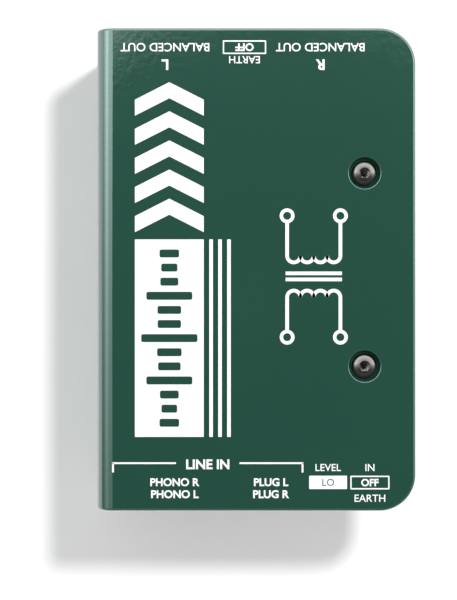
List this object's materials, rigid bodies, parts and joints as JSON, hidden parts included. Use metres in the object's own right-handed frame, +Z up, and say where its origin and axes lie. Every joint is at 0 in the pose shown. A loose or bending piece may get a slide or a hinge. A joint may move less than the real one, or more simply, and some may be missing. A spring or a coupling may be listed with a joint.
{
  "type": "direct injection box",
  "caption": "Passive stereo direct injection box: folded steel shell round a recessed chassis with phono and jack inputs, XLR outputs, push switches and isolation transformers.",
  "frame": {"origin": "centre of the footprint, on the underside of the rubber pad", "axes": "+Z up; +Y along the length towards the output end with the XLR connectors; +X across, towards the open side of the C-shaped shell, with its folded wall at -X"},
  "size_m": [0.084, 0.127, 0.048],
  "materials": {
    "shell_paint": "smooth semi-gloss baked enamel",
    "chassis_paint": "fine satin powder coat",
    "pad_rubber": "matt, fine grain",
    "zinc_steel": "bright zinc plate",
    "black_steel": "polished black nickel",
    "nickel": "bright nickel plate",
    "black_plastic": "moulded, satin",
    "red_plastic": "moulded, semi-gloss",
    "white_plastic": "moulded, semi-gloss",
    "board_laminate": "solder mask over laminate",
    "core_steel": "varnished laminations",
    "bobbin_plastic": "moulded nylon",
    "winding_tape": "polyester tape",
    "lead_sleeve": "flexible PVC"
  },
  "bodies": {
    "case": {"board_screw_front": "zinc_steel", "board_screw_rear": "zinc_steel", "board_standoff_front": "nickel", "board_standoff_rear": "nickel", "case_screw_bottom_input": "black_steel", "case_screw_bottom_output": "black_steel", "case_screw_top_input": "black_steel", "case_screw_top_output": "black_steel", "chassis_frame": "chassis_paint", "chassis_web": "zinc_steel", "clinch_nut_bottom_input": "zinc_steel", "clinch_nut_bottom_output": "zinc_steel", "clinch_nut_top_input": "zinc_steel", "clinch_nut_top_output": "zinc_steel", "input_lift_switch_housing": "black_plastic", "input_lift_switch_spring": "nickel", "main_board": "board_laminate", "mini_jack_body": "black_plastic", "mini_jack_lead": "lead_sleeve", "mini_jack_nut": "nickel", "no_slip_pad": "pad_rubber", "outer_shell": "shell_paint", "output_lift_switch_housing": "black_plastic", "output_lift_switch_spring": "nickel", "pad_switch_housing": "black_plastic", "pad_switch_spring": "nickel", "phone_jack_body": "black_plastic", "phone_jack_nut": "nickel", "phone_jack_washer": "nickel", "phono_block_screw": "zinc_steel", "phono_input_left_insulator": "white_plastic", "phono_input_left_sleeve": "nickel", "phono_input_right_insulator": "red_plastic", "phono_input_right_sleeve": "nickel", "phono_jack_block": "black_plastic", "phono_thru_left_insulator": "white_plastic", "phono_thru_left_sleeve": "nickel", "phono_thru_right_insulator": "red_plastic", "phono_thru_right_sleeve": "nickel", "transformer_left_bobbin": "bobbin_plastic", "transformer_left_core": "core_steel", "transformer_left_winding": "winding_tape", "transformer_right_bobbin": "bobbin_plastic", "transformer_right_core": "core_steel", "transformer_right_winding": "winding_tape", "xlr_left_housing": "black_plastic", "xlr_left_pin_1": "nickel", "xlr_left_pin_2": "nickel", "xlr_left_pin_3": "nickel", "xlr_left_screw_lower": "black_steel", "xlr_left_screw_upper": "black_steel", "xlr_right_housing": "black_plastic", "xlr_right_pin_1": "nickel", "xlr_right_pin_2": "nickel", "xlr_right_pin_3": "nickel", "xlr_right_screw_lower": "black_steel", "xlr_right_screw_upper": "black_steel"},
    "pad_plunger": {"pad_button": "black_plastic"},
    "input_lift_plunger": {"input_lift_button": "black_plastic"},
    "output_lift_plunger": {"output_lift_button": "black_plastic"}
  },
  "joints": [
    {"name": "pad_press", "type": "slide", "parent": "case", "child": "pad_plunger", "axis": [0, 1, 0], "range_m": [0, 0.0025], "deforming": ["pad_switch_spring"]},
    {"name": "input_lift_press", "type": "slide", "parent": "case", "child": "input_lift_plunger", "axis": [0, 1, 0], "range_m": [0, 0.0025], "deforming": ["input_lift_switch_spring"]},
    {"name": "output_lift_press", "type": "slide", "parent": "case", "child": "output_lift_plunger", "axis": [0, -1, 0], "range_m": [0, 0.0025], "deforming": ["output_lift_switch_spring"]}
  ]
}
